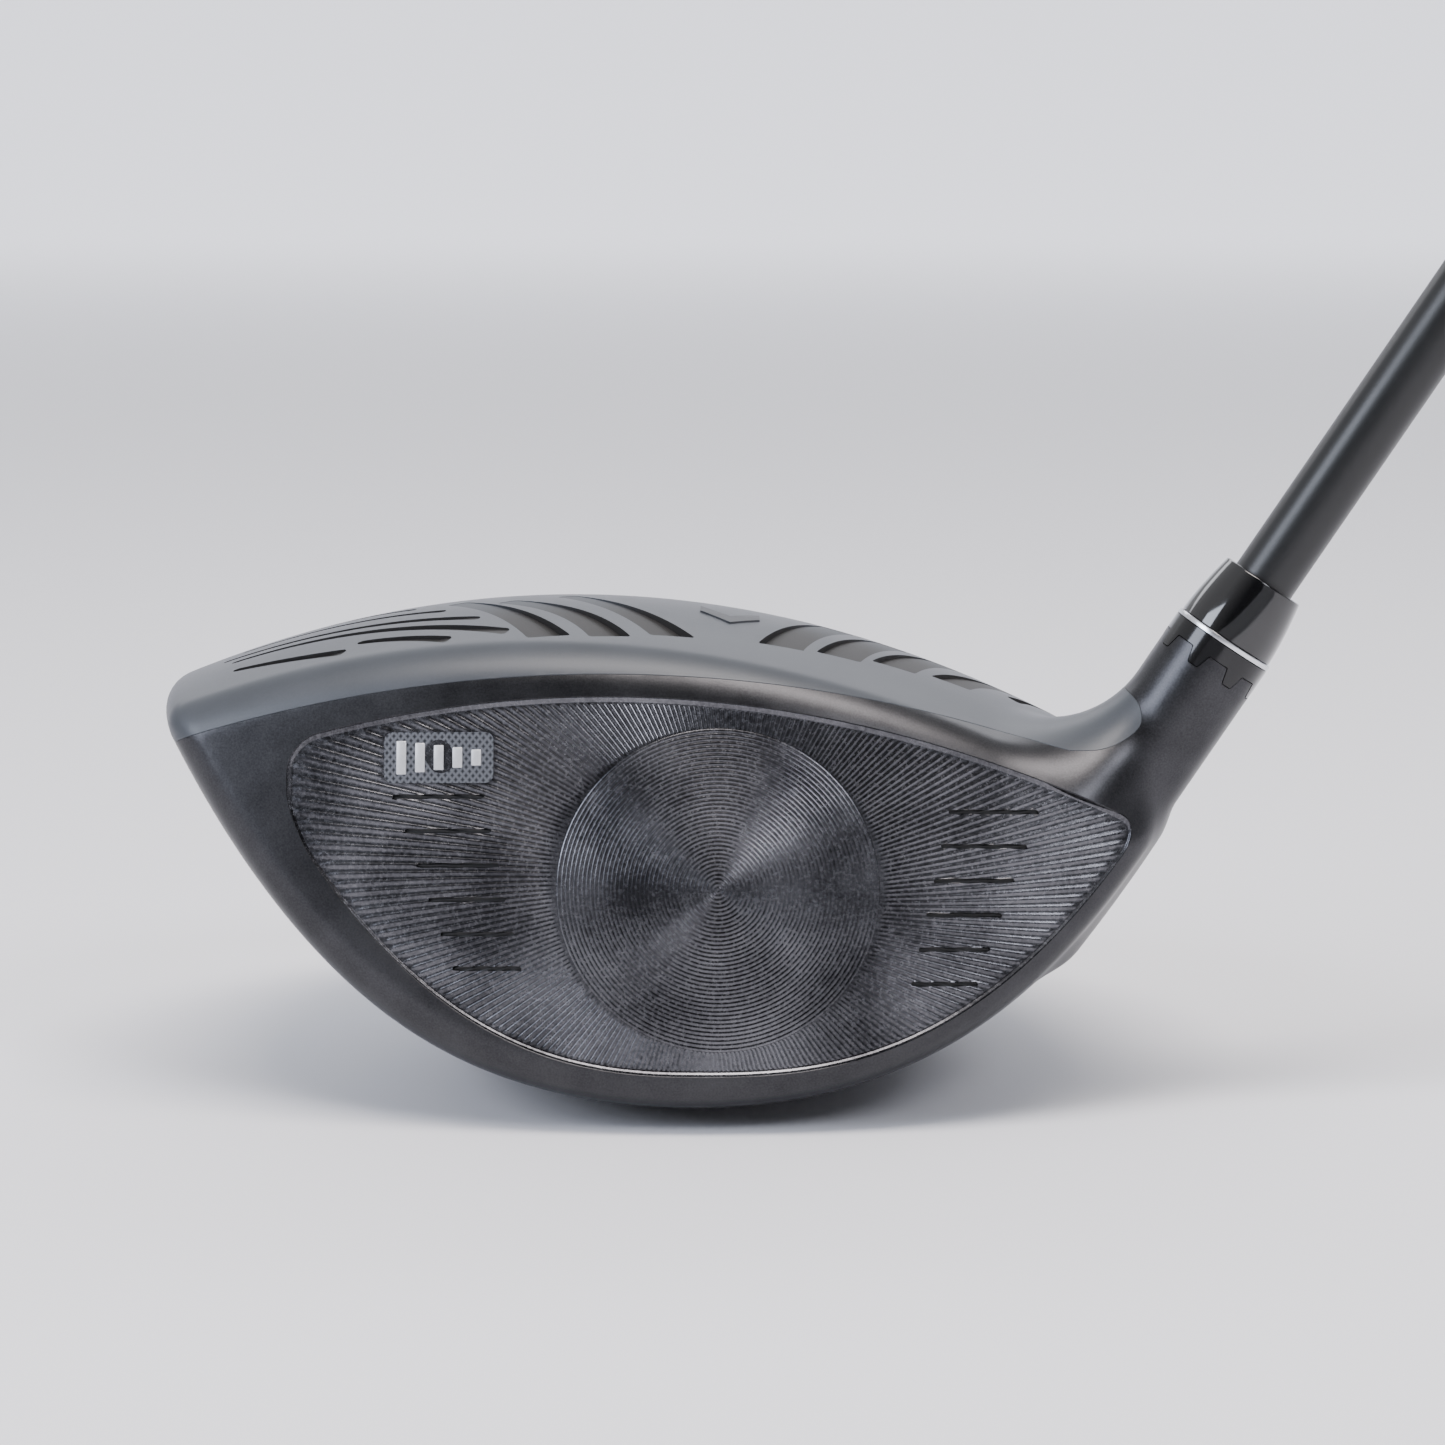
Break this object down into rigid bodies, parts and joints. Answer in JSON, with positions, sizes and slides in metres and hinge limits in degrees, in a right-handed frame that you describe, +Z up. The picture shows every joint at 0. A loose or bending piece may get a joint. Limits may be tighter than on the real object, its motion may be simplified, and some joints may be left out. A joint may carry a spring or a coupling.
{
  "type": "golf driver",
  "caption": "Right-handed golf driver: hollow head with milled face, crown with front trips, adjustable hosel sleeve, tapered graphite shaft and rubber grip.",
  "frame": {"origin": "lowest point of the sole with the club at address", "axes": "+Z up, +X from toe to heel, -Y the way the face looks at the target"},
  "size_m": [0.7474, 0.1173, 0.9642],
  "materials": {
    "titanium_body": "satin dark gunmetal coating on cast titanium",
    "milled_face": "dark coated titanium, milled in rings and spokes",
    "crown_composite": "matte slate grey paint on carbon composite",
    "trip_plastic": "matte charcoal moulded polymer",
    "mark_paint": "pale printed mark under lacquer",
    "liner_titanium": "turned titanium tube",
    "port_titanium": "turned titanium port",
    "badge_aluminium": "brushed anodised plate",
    "washer_steel": "turned steel",
    "screw_steel": "turned steel, bright finish",
    "seal_rubber": "moulded nitrile",
    "weight_steel": "turned steel",
    "sleeve_aluminium": "gloss black anodised aluminium",
    "ring_aluminium": "bright turned aluminium",
    "ferrule_plastic": "polished black plastic",
    "plug_plastic": "moulded plug",
    "shaft_graphite": "matte black painted graphite",
    "band_decal": "grey printed decal",
    "tape_paper": "double-sided paper tape",
    "grip_rubber": "moulded rubber with a fine pattern",
    "cap_rubber": "moulded rubber"
  },
  "bodies": {
    "club_shaft": {"shaft": "shaft_graphite", "hosel_sleeve": "sleeve_aluminium", "ferrule": "ferrule_plastic", "tip_plug": "plug_plastic", "shaft_band": "band_decal", "grip_tape": "tape_paper", "grip": "grip_rubber", "grip_cap": "cap_rubber"},
    "trim_ring": {"sleeve_ring": "ring_aluminium"},
    "head": {"body_shell": "titanium_body", "face_plate": "milled_face", "crown_panel": "crown_composite", "aero_trips_toe": "trip_plastic", "aero_trips_heel": "trip_plastic", "alignment_mark": "mark_paint", "hosel_liner": "liner_titanium", "front_port": "port_titanium", "rear_port": "port_titanium", "sole_badge": "badge_aluminium", "screw_washer": "washer_steel"},
    "screw": {"hosel_screw": "screw_steel"},
    "front_seal": {"front_weight_washer": "seal_rubber"},
    "front_slug": {"front_weight": "weight_steel"},
    "rear_seal": {"rear_weight_washer": "seal_rubber"},
    "rear_slug": {"rear_weight": "weight_steel"}
  },
  "joints": [
    {"name": "loft_turn", "type": "hinge", "parent": "club_shaft", "child": "trim_ring", "pos_m": [0.07, -0.021, 0.0619], "axis": [0.5534, 0, 0.8329], "range_deg": [0, 45]},
    {"name": "head_off", "type": "slide", "parent": "trim_ring", "child": "head", "axis": [-0.5534, 0, -0.8329], "range_m": [0, 0.04]},
    {"name": "screw_turn", "type": "hinge", "parent": "head", "child": "screw", "pos_m": [0.04122, -0.021, 0.01859], "axis": [0.5534, 0, 0.8329], "continuous": true},
    {"name": "front_weight_turn", "type": "hinge", "parent": "head", "child": "front_seal", "pos_m": [0.002, -0.019, 0.00035], "axis": [0.0128, -0.0536, -0.9985], "range_deg": [0, 2160]},
    {"name": "front_weight_out", "type": "slide", "parent": "front_seal", "child": "front_slug", "axis": [0.0128, -0.0536, -0.9985], "range_m": [0, 0.006]},
    {"name": "rear_weight_turn", "type": "hinge", "parent": "head", "child": "rear_seal", "pos_m": [0, 0.05, 0.00759], "axis": [-0.0495, 0.4092, -0.9111], "range_deg": [0, 2160]},
    {"name": "rear_weight_out", "type": "slide", "parent": "rear_seal", "child": "rear_slug", "axis": [-0.0495, 0.4092, -0.9111], "range_m": [0, 0.006]}
  ],
  "couplings": [
    {"joint": "loft_turn", "follows": "head_off", "rad_per_m": 19.6},
    {"joint": "front_weight_turn", "follows": "front_weight_out", "rad_per_m": 6283},
    {"joint": "rear_weight_turn", "follows": "rear_weight_out", "rad_per_m": 6283}
  ]
}
